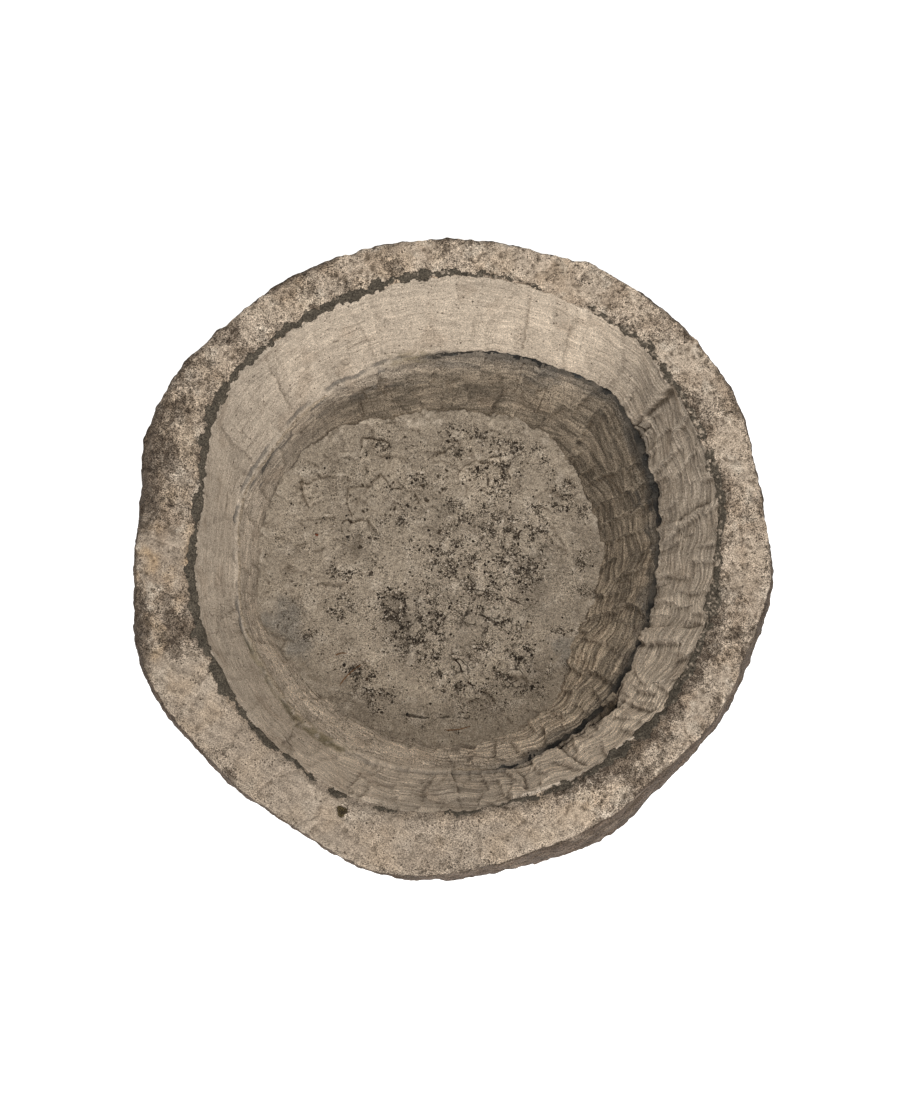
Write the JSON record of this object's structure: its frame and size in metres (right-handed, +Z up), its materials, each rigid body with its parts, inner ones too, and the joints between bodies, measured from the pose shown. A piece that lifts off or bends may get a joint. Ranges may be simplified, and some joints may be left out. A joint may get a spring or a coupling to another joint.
{
  "type": "stone trough planter",
  "caption": "Round stone trough hewn from one block, with a weathered rim, a stepped hollow, mouth crust and a dried silt bed, for planting outdoors.",
  "frame": {"origin": "on the ground, below the middle of the trough's outline", "axes": "+Z up through the mouth, +X to the right and +Y away from the viewer in the picture"},
  "size_m": [0.6539, 0.6537, 0.294],
  "materials": {
    "stone": "weathered, tooled",
    "crust": "rough dark crust",
    "clay": "dry clay",
    "silt": "dried silt",
    "grit": "rough",
    "straw": "dry",
    "twig": "dry",
    "seed": "satin",
    "moss": "soft"
  },
  "bodies": {
    "root": {"trough_stone": "stone", "mouth_crust": "crust", "parting_clay": "clay", "floor_silt": "silt", "grit": "grit", "stone_chips": "stone", "straws": "straw", "twigs": "twig", "seeds": "seed", "moss_tuft": "moss"}
  },
  "joints": []
}
